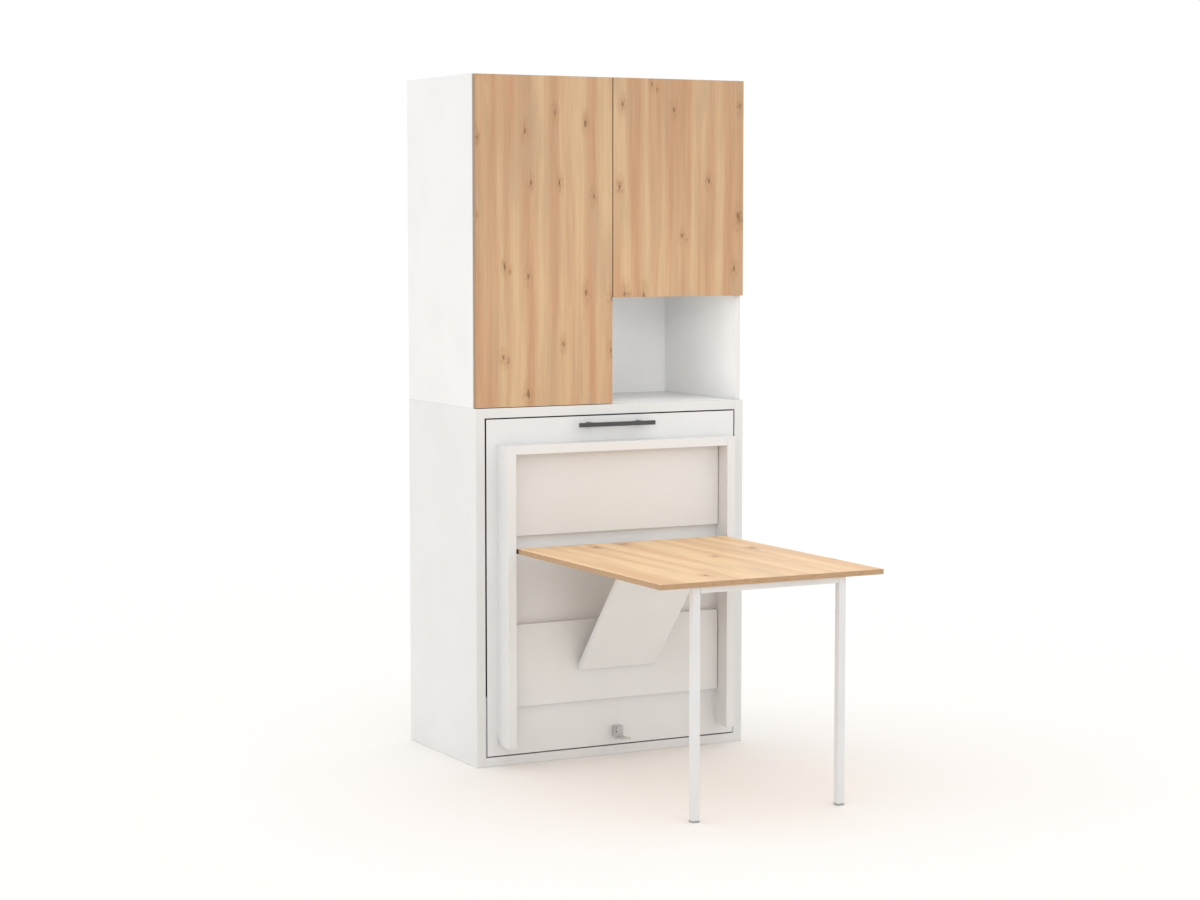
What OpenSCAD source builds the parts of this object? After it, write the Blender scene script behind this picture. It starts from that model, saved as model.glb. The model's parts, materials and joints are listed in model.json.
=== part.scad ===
/* [Cabinet] */
// width of the whole cabinet
cabinet_w = 1000; // [985:1:1060]
// depth of the whole cabinet
cabinet_d = 540; // [530:1:620]
// height of the lower cabinet, up to the joint
lower_h = 1175; // [1172:1:1240]
// height of the upper cabinet above the joint
upper_h = 1075; // [900:1:1300]
// board thickness of the lower sides and top
thick_board = 32; // [28:1:34]
// thickness of the bottom board
bottom_t = 30; // [24:1:30]
// board thickness of the upper cabinet and the doors
board_t = 19; // [16:0.5:22]
// thickness of the lower back panel
lower_back_t = 18; // [12:1:18]
// thickness of the upper back panel
upper_back_t = 8; // [5:1:12]
// height of the open niche
niche_h = 353; // [250:1:450]
// gap between the two doors
door_gap = 3; // [2:0.5:5]
// gap between a door and the board behind it
door_back_gap = 1; // [0.5:0.5:2]
// reveal round the bed front
front_reveal = 5; // [4:0.5:8]

/* [Bed front] */
// thickness of the front panel
front_t = 18; // [16:1:18]
// distance of the U-shaped frame from the cabinet's outer side
frame_inset = 76; // [66:1:84]
// face width of the frame's columns and beam
frame_bar = 30; // [24:1:36]
// how far the frame stands out from the front
frame_out = 80; // [72:1:80]
// distance of the frame's top below the lower cabinet's top
frame_drop = 117; // [100:1:125]
// underside of the columns above the floor
column_foot = 70; // [68:1:76]
// radius of the rounded back corner of a column's foot
foot_r = 38; // [20:1:45]
// thickness of the two boards between the columns
infill_t = 22; // [16:1:24]
// gap between each end of those boards and the column
infill_gap = 2.5; // [1:0.5:4]
// height of the upper board
upper_infill_h = 271; // [240:1:280]
// lower and upper edge of the lower board
lower_infill_z0 = 194; // [170:1:220]
lower_infill_z1 = 466; // [440:1:480]
// length, height and reach of the handle, and how far in its feet are
handle_l = 280; // [240:1:320]
handle_t = 14; // [10:1:16]
handle_out = 40; // [34:1:48]
handle_feet_in = 40; // [30:1:60]
// distance of the handle's centre below the lower cabinet's top
handle_drop = 63; // [56:1:75]
// height, width and depth of the rest bracket's block
bracket_h = 36; // [32:1:42]
bracket_w = 31; // [26:1:36]
bracket_d = 24; // [20:1:30]
// distance of the bracket's middle from the cabinet's middle
bracket_x = 12; // [0:1:16]
// foot of the bracket above the floor
bracket_z = 62; // [60:1:64]

/* [Table] */
// height of the table's surface
table_h = 722; // [716:1:730]
// thickness of the table top
table_t = 16; // [15:0.5:18]
// length of the table top
table_l = 967; // [940:1:980]
// gap between the table's edge and each column
table_side_gap = 5.5; // [4:0.5:8]
// distance of the table's rear edge from the cabinet front
table_rear = 66; // [60:1:74]
// square leg tube, its wall, and how far its centre is from the table's edge
leg_t = 25; // [22:1:28]
leg_wall = 2; // [1.5:0.5:3]
leg_inset = 134; // [110:1:150]
// distance of the legs' front face behind the table's far edge
leg_setback = 21; // [10:1:40]
// height of the crossbar between the legs
crossbar_h = 20; // [18:1:25]
// width and thickness of the strut board
strut_w = 288; // [250:1:300]
strut_t = 18; // [16:1:20]
// lean of the strut from the vertical, in degrees
strut_lean = 40; // [38:0.5:41]
// height of the strut's lower hinge pin
strut_foot_z = 317; // [305:1:325]
// width of the strut's hinges, width and place of the legs' hinges
strut_hinge_w = 240; // [200:10:250]
leg_hinge_w = 60; // [50:1:80]
leg_hinge_x = 150; // [120:1:190]

/* [Bed] */
// gap between each mattress and the cabinet's side
mattress_gap = 18; // [18:1:25]
// thickness of the mattresses
mattress_t = 100; // [90:1:100]
// gap above the folded main section, inside the cabinet
main_top_gap = 138; // [136:1:150]
// lowest point of the main section above the floor
main_foot_z = 50; // [48:1:55]
// length of the foot and head sections
foot_l = 408; // [380:1:408]
head_l = 450; // [420:1:450]
// width of the wooden bed rails
rail_w = 30; // [24:1:30]
// distance of the main section's mattress behind the cabinet front
slat_face = 50; // [48:1:50]
// depth of the foot and head frames
thin_rail_d = 30; // [28:1:30]
// gap between the folded mattresses
fold_gap = 4; // [4:0.5:6]
// gap between the head section's mattress and the back panel
head_back_gap = 10; // [10:1:14]
// distance of the head section's axis from its mattress's back and foot
head_axis_in = 12; // [10:1:14]
// distance of the foot leg's pivot from the fold
foot_pivot_in = 250; // [230:1:250]
// square bar of the foot leg
leg_bar = 16; // [14:1:16]
// slat width and thickness
slat_w = 60; // [50:1:70]
slat_t = 10; // [8:1:12]
// turning axis of the front, ahead of the front and above the floor
axis_out = 12; // [10:1:12]
axis_z = 68; // [68:0.5:69]

/* [Hardware] */
// hinge pin radius, knuckle radius and leaf thickness
pin_r = 2; // [1.5:0.1:2.2]
knuckle_r = 4; // [3.8:0.1:4.2]
leaf_t = 2; // [1.5:0.1:2]
// length of the hinge leaves on the strut, the board and the table
strut_leaf_l = 40; // [34:1:50]
board_leaf_l = 36; // [32:1:40]
table_leaf_l = 34; // [30:1:38]
// plate thickness of the bed fittings
plate_t = 3; // [2.5:0.5:3]
// height of the arms that carry the rollers
arm_h = 96; // [90:1:110]
// height and reach of the foot section's fold plates
fold_plate_h = 40; // [34:1:50]
// size of the head section's wall brackets below and above its axis
head_bracket_low = 40; // [30:1:50]
head_bracket_up = 30; // [24:1:36]
// radial running clearance of pins
run_gap = 0.05; // [0.03:0.01:0.09]
// side gap between knuckles
knuckle_gap = 0.5; // [0.3:0.1:1]
// gap of a piece that only rests on another
rest_gap = 0.3; // [0.2:0.1:0.5]
// roller radius and the radii of the two guide slots
roller_r = 6; // [5:0.5:6]
inner_arc_r = 72; // [70:1:76]
outer_arc_r = 150; // [146:1:154]
// thickness of the slotted guide plates
guide_t = 4; // [3:0.5:5]
// screw radius of the bed front
screw_r = 2.5; // [2:0.25:3]
// wall screw hole radius and distance from the cabinet's side
wall_hole_r = 4; // [3:0.5:5]
wall_hole_in = 140; // [100:5:200]

/* [Hidden] */
$fn = 48;
e = 1;
hw = cabinet_w / 2;
y_front = -cabinet_d / 2;
y_back = cabinet_d / 2;
total_h = lower_h + upper_h;
lower_in = hw - thick_board;
lower_top_z = lower_h - thick_board;
back_in = y_back - lower_back_t;
upper_in = hw - board_t;
upper_y = y_front + board_t + door_back_gap;
upper_back_y = y_back - lower_back_t;
upper_in_y = upper_back_y - upper_back_t;
niche_z = lower_h + niche_h;
niche_board_z = niche_z + 2;
door_x0 = door_gap / 2;
door_x1 = hw - 2;
door_top = total_h - 2;
front_hw = lower_in - front_reveal;
front_z0 = bottom_t + front_reveal - 1;
front_z1 = lower_top_z - front_reveal + 1;
panel_back = y_front + front_t;
frame_hw = hw - frame_inset;
inner_hw = frame_hw - frame_bar;
frame_top = lower_h - frame_drop;
handle_z = lower_h - handle_drop;
frame_y = y_front - frame_out;
infill_y = y_front - infill_t;
beam_z = frame_top - frame_bar;
upper_infill_z = beam_z - upper_infill_h;
axis_y = y_front - axis_out;
// hinge pins stand this far off the board they are screwed to
pin_off = knuckle_r + 0.5;
foot_axis_y = infill_y - pin_off;
table_z0 = table_h - table_t;
under_z = table_z0 - pin_off;
lean_s = sin(strut_lean);
lean_c = cos(strut_lean);
strut_l = (under_z - strut_foot_z + strut_t * lean_s) / lean_c;
strut_head_y = foot_axis_y - strut_t * lean_c - strut_l * lean_s;
table_hw = inner_hw - table_side_gap;
table_y1 = y_front - table_rear;
table_y0 = table_y1 - table_l;
leg_y0 = table_y0 + leg_setback;
leg_y1 = leg_y0 + leg_t;
leg_axis_y = leg_y1 + pin_off;
leg_x = table_hw - leg_inset;
leg_top = table_z0 - 0.5;
glide_h = 6;
// the strut's square end stands 1 mm off the board behind it
strut_end = (pin_off - 1) / lean_s;
// bed sections, measured back from the panel
mattress_hw = lower_in - mattress_gap;
rail_hw = mattress_hw + 5;
main_y0 = panel_back;
main_y1 = y_front + slat_face;
main_my1 = main_y1 + mattress_t;
main_z0 = main_foot_z;
main_z1 = lower_top_z - main_top_gap;
main_l = main_z1 - main_z0;
fold_y = main_my1 + fold_gap / 2;
fold_z = main_z1;
foot_my0 = fold_y + fold_gap / 2;
foot_my1 = foot_my0 + mattress_t;
foot_y1 = foot_my1 + thin_rail_d;
foot_z0 = fold_z - foot_l;
foot_z1 = fold_z - 14;
foot_rail_hw = rail_hw + plate_t + rest_gap;
head_my1 = back_in - head_back_gap;
head_my0 = head_my1 - mattress_t;
head_y0 = head_my0 - thin_rail_d;
head_axis_y = head_my1 - head_axis_in;
// open, the head mattress lies level with the main one
head_axis_z = axis_z + main_y1 - axis_y - head_my0 + head_axis_y;
head_z0 = head_axis_z - head_axis_in;
head_z1 = head_z0 + head_l;
head_foot_l = head_axis_z + head_y0 - head_axis_y - bottom_t - rest_gap;
head_foot_z = head_z0 + 300;
// the foot section's leg lies in its frame and swings out by a right angle
leg_pivot_z = fold_z - foot_pivot_in;
leg_pivot_y = foot_y1 - leg_bar / 2 - 2;
bed_leg_l = axis_z - axis_y + 2 * fold_y - leg_pivot_y;
// guide slots: each roller starts at its own angle and turns by 90 degrees
slot_w = 2 * roller_r + 1;
inner_start = -20;
outer_start = -10;
guide_x = lower_in - guide_t;
guide_y1 = axis_y + outer_arc_r + 18;
guide_z1 = axis_z + outer_arc_r + 14;

// Which part to show

// small makers

module box(x0, x1, y0, y1, z0, z1) {
  translate([x0, y0, z0]) cube([x1 - x0, y1 - y0, z1 - z0]);
}

module rod_x(r, x0, x1, y, z) {
  translate([x0, y, z]) rotate([0, 90, 0]) cylinder(r = r, h = x1 - x0);
}

module rod_y(r, x, y0, y1, z) {
  translate([x, y0, z]) rotate([-90, 0, 0]) cylinder(r = r, h = y1 - y0);
}

module both() {
  children();
  mirror([1, 0, 0]) children();
}

// a profile drawn in Y and Z, pushed out along X from x0 to x1
module side_profile(x0, x1) {
  translate([x0, 0, 0]) rotate([90, 0, 90]) linear_extrude(height = x1 - x0) children();
}

// a board whose four long edges along X, Y or Z are eased by c
module eased_z(x0, x1, y0, y1, z0, z1, c) {
  translate([0, 0, z0]) linear_extrude(height = z1 - z0)
    polygon([[x0 + c, y0], [x1 - c, y0], [x1, y0 + c], [x1, y1 - c],
             [x1 - c, y1], [x0 + c, y1], [x0, y1 - c], [x0, y0 + c]]);
}

module eased_x(x0, x1, y0, y1, z0, z1, c) {
  side_profile(x0, x1)
    polygon([[y0 + c, z0], [y1 - c, z0], [y1, z0 + c], [y1, z1 - c],
             [y1 - c, z1], [y0 + c, z1], [y0, z1 - c], [y0, z0 + c]]);
}

module eased_y(x0, x1, y0, y1, z0, z1, c) {
  translate([0, y1, 0]) rotate([90, 0, 0]) linear_extrude(height = y1 - y0)
    polygon([[x0 + c, z0], [x1 - c, z0], [x1, z0 + c], [x1, z1 - c],
             [x1 - c, z1], [x0 + c, z1], [x0, z1 - c], [x0, z0 + c]]);
}

// one leaf of a butt hinge with its pin on the X axis: the plate lies
// from y = y0 to y1 and runs to z = len, knuckles start at "first"
module hinge_leaf(w, n, first, y0, y1, len) {
  seg = w / n;
  near = knuckle_r + 0.5;
  up = len > 0 ? 1 : -1;
  for (i = [first : 2 : n - 1]) {
    a = -w / 2 + i * seg + knuckle_gap / 2;
    b = -w / 2 + (i + 1) * seg - knuckle_gap / 2;
    difference() {
      union() {
        rod_x(knuckle_r, a, b, 0, 0);
        box(a, b, y0, y1, min(0, up * (near + 1)), max(0, up * (near + 1)));
      }
      rod_x(pin_r + run_gap, a - 1, b + 1, 0, 0);
    }
  }
  difference() {
    box(-w / 2, w / 2, y0, y1, min(up * near, len), max(up * near, len));
    for (s = [-1, 1]) rod_y(2, s * (w / 2 - 12), y0 - 1, y1 + 1, len - up * 9);
  }
}

module hinge_pin(w) {
  rod_x(pin_r, -w / 2, w / 2, 0, 0);
}

// a quilted mattress: flat underneath, crowned on top, its sides drawn in
// and its top pulled down along the seams; lies from y = 0 to t, face at t
function soft_edge(u) = pow(max(0, 1 - pow(abs(u), 6)), 0.5);

module mattress(w, l, t, rows, nx, nz) {
  hx = w / 2;
  hz = l / 2;
  drop = t * 0.16;
  seam = t * 0.045;
  round_r = 34;
  us = [for (i = [0 : nx]) -cos(180 * i / nx) * 0.45 + (2 * i / nx - 1) * 0.55];
  vs = [for (j = [0 : nz]) -cos(180 * j / nz) * 0.3 + (2 * j / nz - 1) * 0.7];
  function px(u, v) = u * (hx - round_r * pow(abs(v), 14) * 0.5);
  function pz(u, v) = v * (hz - round_r * pow(abs(u), 14) * 0.5);
  function top(u, v) = t - drop * (1 - soft_edge(u) * soft_edge(v))
    - seam * pow(abs(cos(90 * rows * (v + 1))), 10) * soft_edge(u) * soft_edge(v);
  n = nx + 1;
  m = nz + 1;
  k = n * m;
  low = [for (j = [0 : nz]) for (i = [0 : nx]) [px(us[i], vs[j]), 0, hz + pz(us[i], vs[j])]];
  high = [for (j = [0 : nz]) for (i = [0 : nx])
    [px(us[i], vs[j]), top(us[i], vs[j]), hz + pz(us[i], vs[j])]];
  ring = concat([for (i = [0 : nx - 1]) i], [for (j = [0 : nz - 1]) j * n + nx],
    [for (i = [nx : -1 : 1]) nz * n + i], [for (j = [nz : -1 : 1]) j * n]);
  r = len(ring);
  // the side's middle stands proud of its two taped edges
  belly = [for (q = ring) let (a = low[q], s = 1 - 7 / hx, c = 1 - 7 / hz)
    [a[0] * s, 0, hz + (a[2] - hz) * c]];
  edge_low = [for (p = belly) p];
  mid = [for (q = ring) [low[q][0], high[q][1] * 0.48, low[q][2]]];
  lows = [for (p = low) [p[0] * (1 - 7 / hx), p[1], hz + (p[2] - hz) * (1 - 7 / hz)]];
  highs = [for (p = high) [p[0] * (1 - 5 / hx), p[1], hz + (p[2] - hz) * (1 - 5 / hz)]];
  pts = concat(lows, highs, mid);
  quads_low = [for (j = [0 : nz - 1]) for (i = [0 : nx - 1])
    [j * n + i, j * n + i + 1, (j + 1) * n + i + 1, (j + 1) * n + i]];
  quads_high = [for (q = quads_low) [k + q[3], k + q[2], k + q[1], k + q[0]]];
  tri_low = [for (q = quads_low) each [[q[0], q[1], q[2]], [q[0], q[2], q[3]]]];
  tri_high = [for (q = quads_high) each [[q[0], q[1], q[2]], [q[0], q[2], q[3]]]];
  side_low = [for (i = [0 : r - 1]) let (a = ring[i], b = ring[(i + 1) % r],
    c = 2 * k + i, d = 2 * k + (i + 1) % r) each [[b, a, c], [b, c, d]]];
  side_high = [for (i = [0 : r - 1]) let (a = k + ring[i], b = k + ring[(i + 1) % r],
    c = 2 * k + i, d = 2 * k + (i + 1) % r) each [[a, b, c], [b, d, c]]];
  polyhedron(points = pts, faces = concat(tri_low, tri_high, side_low, side_high));
}

module rails(hwid, y0, y1, z0, z1, crosses) {
  difference() {
    union() {
      for (s = [-1, 1])
        box(min(s * hwid, s * (hwid - rail_w)), max(s * hwid, s * (hwid - rail_w)), y0, y1, z0, z1);
      for (z = crosses) box(-hwid + rail_w - 0.01, hwid - rail_w + 0.01, y0, y1, z, z + rail_w);
    }
  }
}

// upper cabinet

module upper_left_side() {
  color("white") box(-hw, -upper_in, upper_y, y_back, lower_h, total_h);
}

module upper_right_side() {
  color("white") box(upper_in, hw, upper_y, y_back, lower_h, total_h);
}

module upper_top() {
  color("white") box(-upper_in, upper_in, upper_y, y_back, total_h - board_t, total_h);
}

module upper_divider() {
  color("white") box(-board_t / 2, board_t / 2, upper_y, upper_in_y, lower_h, total_h - board_t);
}

module niche_top() {
  color("white") box(board_t / 2, upper_in, upper_y, upper_in_y, niche_board_z, niche_board_z + board_t);
}

module upper_back() {
  color("white") difference() {
    box(-upper_in, upper_in, upper_in_y, upper_back_y, lower_h, total_h - board_t);
    wall_holes();
  }
}

module wall_holes() {
  for (s = [-1, 1]) rod_y(wall_hole_r, s * (hw - wall_hole_in), upper_in_y - 1, y_back + 1, total_h - board_t - 55);
}

// two rails behind the back panel take the wall screws
module wall_rails() {
  color("tan") difference() {
    for (z = [lower_h, total_h - board_t - 110])
      box(-upper_in, upper_in, upper_back_y, y_back, z, z + 110);
    wall_holes();
  }
}

module shelf_at(x0, x1, z) {
  box(x0 + 1, x1 - 1, upper_y + 22, upper_in_y - 2, z, z + board_t);
}

left_shelf_z = [lower_h + upper_h * 0.25, lower_h + upper_h * 0.5, lower_h + upper_h * 0.75];
right_shelf_z = [niche_board_z + board_t + (total_h - niche_z) * 0.46];

module cupboard_shelves() {
  color("white") {
    for (z = left_shelf_z) shelf_at(-upper_in, -board_t / 2, z);
    for (z = right_shelf_z) shelf_at(board_t / 2, upper_in, z);
  }
}

module pins_at(x0, x1, z) {
  for (y = [upper_y + 60, upper_in_y - 60]) {
    rod_x(2.5, x0, x0 + 8, y, z - 2.5);
    rod_x(2.5, x1 - 8, x1, y, z - 2.5);
  }
}

module shelf_pins() {
  color("silver") {
    for (z = left_shelf_z) pins_at(-upper_in, -board_t / 2, z);
    for (z = right_shelf_z) pins_at(board_t / 2, upper_in, z);
  }
}

// doors with cup hinges; each door turns about its outer front edge
cup_in = 22.5;
cup_r = 17.5;
cup_deep = 11;
left_hinge_z = [lower_h + 90, lower_h + upper_h / 2 + 60, total_h - 90];
right_hinge_z = [niche_z + 90, total_h - 90];

module door_leaf(x0, x1, z0, zs, s) {
  difference() {
    eased_y(x0, x1, y_front, y_front + board_t, z0, door_top, e);
    for (z = zs)
      rod_y(cup_r, s * (door_x1 - cup_in), y_front + board_t - cup_deep, y_front + board_t + 1, z);
  }
}

module left_door() {
  color("burlywood") door_leaf(-door_x1, -door_x0, lower_h + 2, left_hinge_z, -1);
}

module right_door() {
  color("burlywood") door_leaf(door_x0, door_x1, niche_z, right_hinge_z, 1);
}

module cups(zs, s) {
  back = y_front + board_t;
  for (z = zs) difference() {
    rod_y(cup_r - 0.02, s * (door_x1 - cup_in), back - cup_deep + 0.02, back + 0.6, z);
    rod_y(cup_r - 1.5, s * (door_x1 - cup_in), back - cup_deep + 1.5, back + 2, z);
  }
}

module left_hinge_cups() {
  color("silver") cups(left_hinge_z, -1);
}

module right_hinge_cups() {
  color("silver") cups(right_hinge_z, 1);
}

module arm_at(z) {
  x = upper_in;
  box(x - 2, x, upper_y + 20, upper_y + 62, z - 24, z + 24);
  box(x - 14, x - 2, upper_y + 14, upper_y + 68, z - 8, z + 8);
  box(x - 32, x - 14, upper_y + 2, upper_y + 26, z - 7, z + 7);
}

module hinge_arms() {
  color("silver") {
    for (z = left_hinge_z) mirror([1, 0, 0]) arm_at(z);
    for (z = right_hinge_z) arm_at(z);
  }
}

// touch latches on the divider's two faces, one behind each door
module push_latches() {
  color("gray") for (s = [-1, 1]) {
    x = s * (board_t / 2 + 6);
    z = niche_z + 120;
    rod_y(6, x, upper_y + 4, upper_y + 76, z);
    rod_y(3, x, upper_y + 0.2, upper_y + 4, z);
  }
}

// lower cabinet

module lower_left_side() {
  color("white") box(-hw, -lower_in, y_front, y_back, 0, lower_h);
}

module lower_right_side() {
  color("white") box(lower_in, hw, y_front, y_back, 0, lower_h);
}

module lower_top() {
  color("white") box(-lower_in, lower_in, y_front, y_back, lower_top_z, lower_h);
}

module lower_bottom() {
  color("white") box(-lower_in, lower_in, y_front, y_back, 0, bottom_t);
}

module lower_back() {
  color("white") box(-lower_in, lower_in, back_in, y_back, bottom_t, lower_top_z);
}

// bed front

column_x = frame_hw - frame_bar / 2;
column_screw_z = [for (k = [0 : 3]) column_foot + 50 + k * (frame_top - column_foot - 98) / 3];
infill_x = inner_hw - 114;
lower_screw_z = [lower_infill_z0 + 46, lower_infill_z1 - 46];
upper_screw_z = [upper_infill_z + 43, beam_z - 43];
column_screw = 20;
infill_screw = 13;
screw_xz = [
  for (s = [-1, 1]) for (z = column_screw_z) [s * column_x, z, column_screw],
  for (s = [-1, 1]) for (z = concat(lower_screw_z, upper_screw_z)) [s * infill_x, z, infill_screw]
];
handle_x = handle_l / 2 - handle_feet_in - handle_t / 2;
bracket_screw_x = bracket_x - bracket_w / 2 + 5;
bracket_screw_z = [bracket_z + bracket_h - 18, bracket_z + bracket_h - 6];
bracket_screw = 12;

module front_panel() {
  color("white") difference() {
    eased_y(-front_hw, front_hw, y_front, panel_back, front_z0, front_z1, 0.5);
    for (p = screw_xz) rod_y(screw_r + run_gap, p[0], y_front - 1, panel_back + 1, p[1]);
    for (s = [-1, 1]) rod_y(screw_r + run_gap, s * handle_x, y_front - 1, panel_back + 1, handle_z);
    for (z = bracket_screw_z)
      rod_y(2 + run_gap, bracket_screw_x, y_front - 1, y_front + bracket_screw + 1, z);
  }
}

module column(s) {
  x0 = min(s * frame_hw, s * inner_hw);
  difference() {
    side_profile(x0, x0 + frame_bar) difference() {
      translate([frame_y, column_foot]) square([frame_out, frame_top - column_foot]);
      difference() {
        translate([y_front - foot_r, column_foot - 1]) square([foot_r + 1, foot_r + 1]);
        translate([y_front - foot_r, column_foot + foot_r]) circle(r = foot_r, $fn = 64);
      }
    }
    for (z = column_screw_z)
      rod_y(screw_r + run_gap, s * column_x, y_front - column_screw - 1, y_front + 1, z);
  }
}

module left_column() {
  color("white") column(-1);
}

module right_column() {
  color("white") column(1);
}

module frame_beam() {
  color("white") box(-inner_hw, inner_hw, frame_y, y_front, beam_z, frame_top);
}

module infill(z0, z1, zs) {
  difference() {
    box(infill_gap - inner_hw, inner_hw - infill_gap, infill_y, y_front, z0, z1);
    for (s = [-1, 1]) for (z = zs)
      rod_y(screw_r + run_gap, s * infill_x, y_front - infill_screw - 1, y_front + 1, z);
  }
}

module upper_infill() {
  color("white") infill(upper_infill_z, beam_z, upper_screw_z);
}

module lower_infill() {
  color("white") infill(lower_infill_z0, lower_infill_z1, lower_screw_z);
}

// a square bar on two square feet, its corners eased
module handle() {
  y0 = y_front - handle_out;
  h = handle_t / 2;
  color("dimgray") difference() {
    union() {
      eased_x(-handle_l / 2, handle_l / 2, y0, y0 + handle_t - 2, handle_z - h, handle_z + h, e);
      for (s = [-1, 1])
        box(s * handle_x - h, s * handle_x + h, y0 + handle_t - 4, y_front, handle_z - h, handle_z + h);
    }
    for (s = [-1, 1]) rod_y(screw_r + run_gap, s * handle_x, y_front - 18, y_front + 1, handle_z);
  }
}

bracket_t = 3;
bracket_seat = 8;

// a block with two deep screw holes, and a tongue at its foot that turns up at its end
module rest_bracket() {
  x0 = bracket_x - bracket_w / 2;
  x1 = bracket_x + bracket_w / 2;
  y0 = frame_y + 3;
  y1 = y_front - bracket_d;
  color("silver") difference() {
    union() {
      eased_x(x0, x1, y1, y_front, bracket_z, bracket_z + bracket_h, e);
      box(x0, x1, y0, y1 + 2, bracket_z, bracket_z + bracket_t);
      box(x0, x1, y0, y0 + bracket_t, bracket_z, bracket_z + 7);
    }
    for (z = bracket_screw_z) {
      rod_y(2 + run_gap, bracket_screw_x, y_front - bracket_d, y_front + 1, z);
      rod_y(2.8, bracket_screw_x, y1 - 1, y_front - bracket_seat, z);
    }
  }
}

module front_screws() {
  color("silver") {
    for (p = screw_xz) rod_y(screw_r, p[0], y_front - p[2], panel_back, p[1]);
    for (s = [-1, 1]) rod_y(screw_r, s * handle_x, y_front - 17, panel_back, handle_z);
    for (z = bracket_screw_z) {
      rod_y(2, bracket_screw_x, y_front - bracket_seat - 2, y_front + bracket_screw, z);
      rod_y(2.7, bracket_screw_x, y_front - bracket_seat - 3, y_front - bracket_seat, z);
    }
  }
}

// strut and its two hinges

module at_foot() {
  translate([0, foot_axis_y, strut_foot_z]) children();
}

module in_strut() {
  at_foot() rotate([strut_lean, 0, 0]) children();
}

module at_head() {
  translate([0, strut_head_y, under_z]) children();
}

// the knuckles lie in a groove as wide as the hinge
module hinge_groove() {
  rod_x(knuckle_r + 1, -strut_hinge_w / 2 - 1, strut_hinge_w / 2 + 1, 0, 0);
}

module strut() {
  color("white") difference() {
    in_strut() box(-strut_w / 2, strut_w / 2, -strut_t, 0, -strut_end, strut_l);
    box(-strut_w, strut_w, table_y0, y_front, table_z0 - 0.5, table_z0 + 90);
    at_foot() hinge_groove();
    at_head() hinge_groove();
  }
}

module strut_leaves() {
  color("silver") {
    in_strut() hinge_leaf(strut_hinge_w, 7, 1, 0, leaf_t, strut_leaf_l);
    in_strut() translate([0, -strut_t, strut_l])
      hinge_leaf(strut_hinge_w, 7, 1, -leaf_t, 0, -strut_leaf_l);
  }
}

module strut_foot_leaf() {
  color("silver") at_foot()
    hinge_leaf(strut_hinge_w, 7, 0, pin_off - leaf_t, pin_off, board_leaf_l);
}

module strut_foot_pin() {
  color("silver") at_foot() hinge_pin(strut_hinge_w);
}

// table top, its leaves underneath, and the folding leg frame

module table_top() {
  color("burlywood") eased_x(-table_hw, table_hw, table_y0, table_y1, table_z0, table_h, e);
}

// a rubber pad in the gap beside each rear corner, a millimetre short of the column
module table_buffers() {
  color("black") for (s = [-1, 1]) {
    x0 = min(s * table_hw, s * (inner_hw - 1));
    box(x0, x0 + table_side_gap - 1, table_y1 - e - 16, table_y1 - e, table_z0 + e, table_h - e);
  }
}

module table_leaves() {
  color("silver") {
    at_head() rotate([90, 0, 0])
      hinge_leaf(strut_hinge_w, 7, 0, pin_off - leaf_t, pin_off, board_leaf_l);
    for (s = [-1, 1]) translate([s * leg_hinge_x, leg_axis_y, under_z]) rotate([90, 0, 0])
      hinge_leaf(leg_hinge_w, 3, 0, pin_off - leaf_t, pin_off, -table_leaf_l);
  }
}

module table_pins() {
  color("silver") {
    at_head() hinge_pin(strut_hinge_w);
    for (s = [-1, 1]) translate([s * leg_hinge_x, leg_axis_y, under_z]) hinge_pin(leg_hinge_w);
  }
}

module leg_frame() {
  r = leg_t / 2;
  color("white") {
    for (s = [-1, 1]) difference() {
      eased_z(s * leg_x - r, s * leg_x + r, leg_y0, leg_y1, glide_h, leg_top, 2);
      eased_z(s * leg_x - r + leg_wall, s * leg_x + r - leg_wall, leg_y0 + leg_wall,
              leg_y1 - leg_wall, glide_h - 1, leg_top - 2, 1);
    }
    eased_x(-leg_x + r, leg_x - r, leg_y0, leg_y1, leg_top - crossbar_h, leg_top, 0.6);
  }
}

module leg_glides() {
  r = leg_t / 2;
  q = r - leg_wall - 0.05;
  color("silver") for (s = [-1, 1]) {
    eased_z(s * leg_x - r, s * leg_x + r, leg_y0, leg_y1, 0, glide_h, 2);
    eased_z(s * leg_x - q, s * leg_x + q, leg_y0 + r - q, leg_y1 - r + q, glide_h - 0.01, 24, 1);
  }
}

module leg_frame_leaves() {
  color("silver") for (s = [-1, 1]) translate([s * leg_hinge_x, leg_axis_y, under_z])
    hinge_leaf(leg_hinge_w, 3, 1, -pin_off, -pin_off + leaf_t, -(crossbar_h - pin_off + 0.5));
}

// main section of the bed, fixed to the back of the front panel

module slats_in(hwid, y0, zs) {
  for (z = zs) eased_x(-hwid + rail_w, hwid - rail_w, y0, y0 + slat_t, z, z + slat_w, 2);
}

function spread(z0, z1, n) = [for (i = [0 : n - 1]) z0 + (z1 - z0 - slat_w) * i / (n - 1)];

module main_bed_frame() {
  color("tan") rails(rail_hw, main_y0, main_y1, main_z0, main_z1,
    [main_z0, main_z0 + main_l * 0.5 - 15, main_z1 - rail_w]);
}

module main_slats() {
  color("burlywood") {
    slats_in(rail_hw, main_y1 - slat_t, spread(main_z0 + 44, main_z0 + main_l * 0.5 - 29, 4));
    slats_in(rail_hw, main_y1 - slat_t, spread(main_z0 + main_l * 0.5 + 29, main_z1 - 44, 4));
  }
}

module main_mattress() {
  color("ivory") translate([0, main_y1, main_z0 + 2])
    mattress(2 * mattress_hw, main_l - 4, mattress_t, 6, 12, 36);
}

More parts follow.
